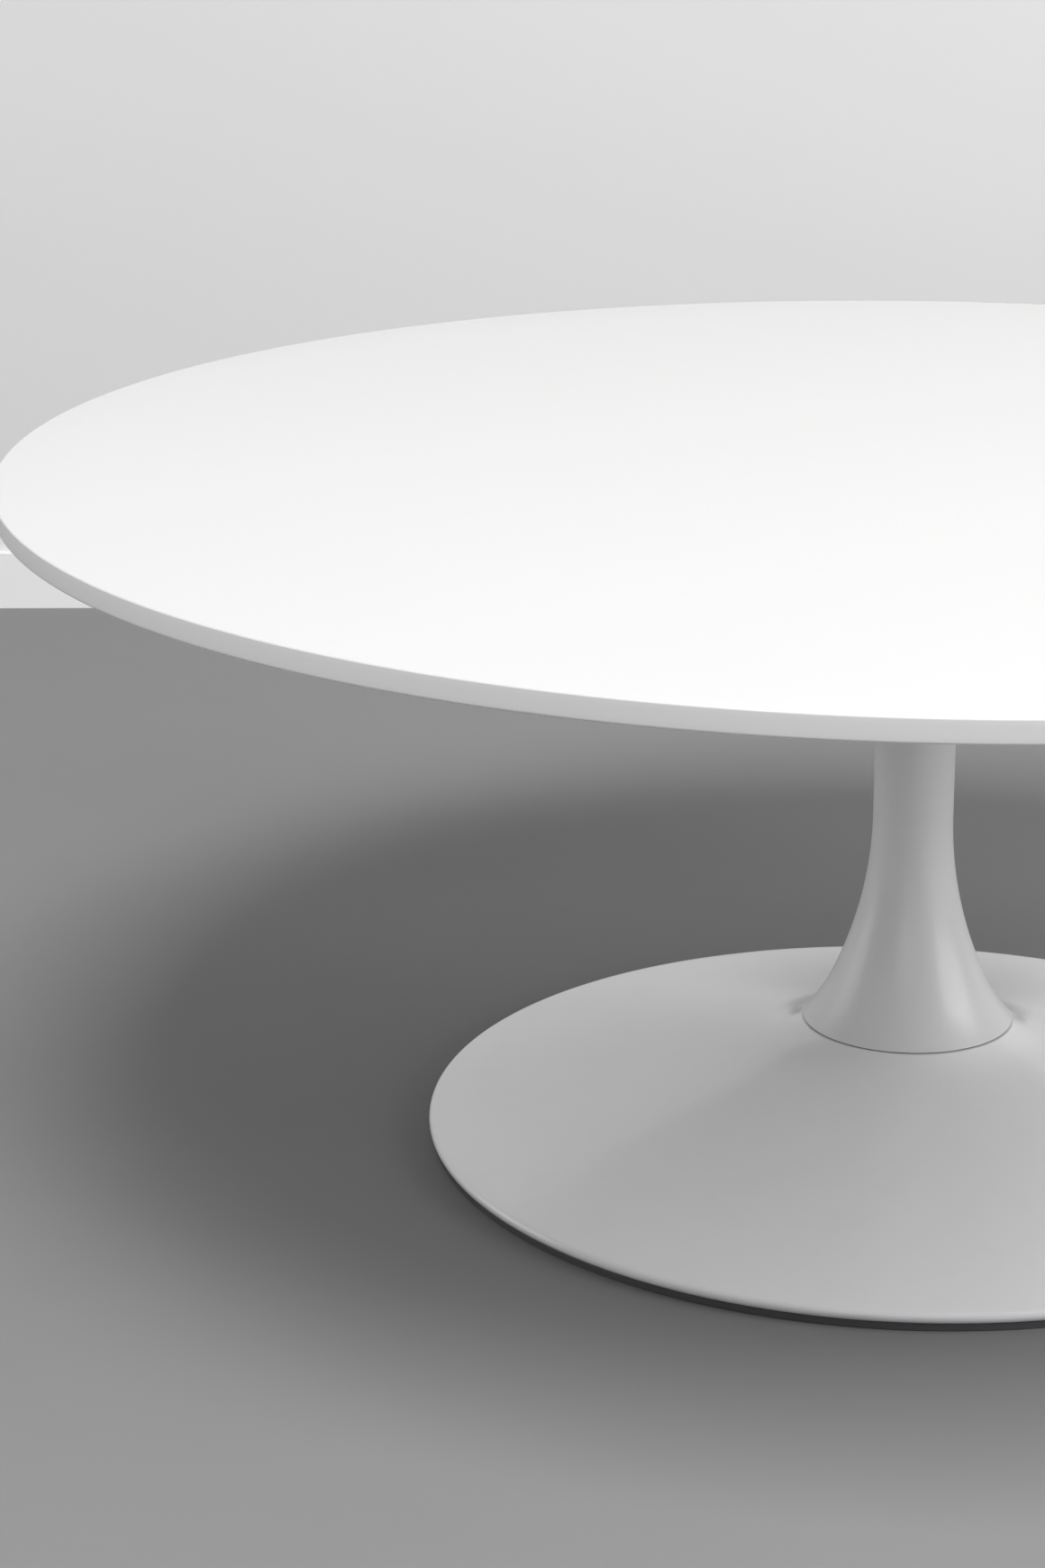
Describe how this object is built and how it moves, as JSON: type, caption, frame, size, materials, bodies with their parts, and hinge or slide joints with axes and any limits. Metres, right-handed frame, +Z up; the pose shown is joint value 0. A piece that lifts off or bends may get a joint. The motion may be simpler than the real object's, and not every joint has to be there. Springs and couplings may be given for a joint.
{
  "type": "round pedestal table",
  "caption": "Low round table: a thin round top on a trumpet-shaped column and a wide spun base with a dark floor ring.",
  "frame": {"origin": "centre of the floor ring's underside, on the floor", "axes": "+Z up along the column; the table is round, so +X and +Y are any two square directions in plan"},
  "size_m": [1.0998, 1.1, 0.427],
  "materials": {
    "top_lacquer": "fine-textured satin white lacquer on a dense fibreboard panel, face, edge and underside",
    "column_coating": "white powder coat, semi-gloss, on spun steel",
    "base_coating": "white powder coat, satin, on spun steel",
    "gasket_rubber": "grey rubber, matt",
    "ring_plastic": "dark grey moulded plastic, matt",
    "cast_alloy": "sand-textured aluminium casting, grey coated",
    "cast_iron": "grey iron casting, dark primer",
    "ballast_steel": "steel plate, dark primer",
    "turned_steel": "turned steel, oiled",
    "zinc_steel": "zinc-plated steel",
    "insert_brass": "plain turned brass"
  },
  "bodies": {
    "root": {"tabletop": "top_lacquer", "top_inserts": "insert_brass", "top_spider": "cast_alloy", "top_washers": "zinc_steel", "top_screws": "zinc_steel", "column": "column_coating", "column_head": "turned_steel", "column_foot": "turned_steel", "seam_gasket": "gasket_rubber", "locating_pins": "turned_steel", "tie_rod": "zinc_steel", "rod_top_washer": "zinc_steel", "rod_top_lock_washer": "zinc_steel", "rod_top_nut": "zinc_steel", "rod_bottom_washer": "zinc_steel", "rod_bottom_lock_washer": "zinc_steel", "rod_bottom_nut": "zinc_steel", "base_shell": "base_coating", "shoulder_screws": "zinc_steel", "base_hub": "cast_iron", "ballast_plate": "ballast_steel", "hub_screws": "zinc_steel", "floor_ring": "ring_plastic", "ring_screws": "zinc_steel", "bore_cap": "ring_plastic"}
  },
  "joints": []
}
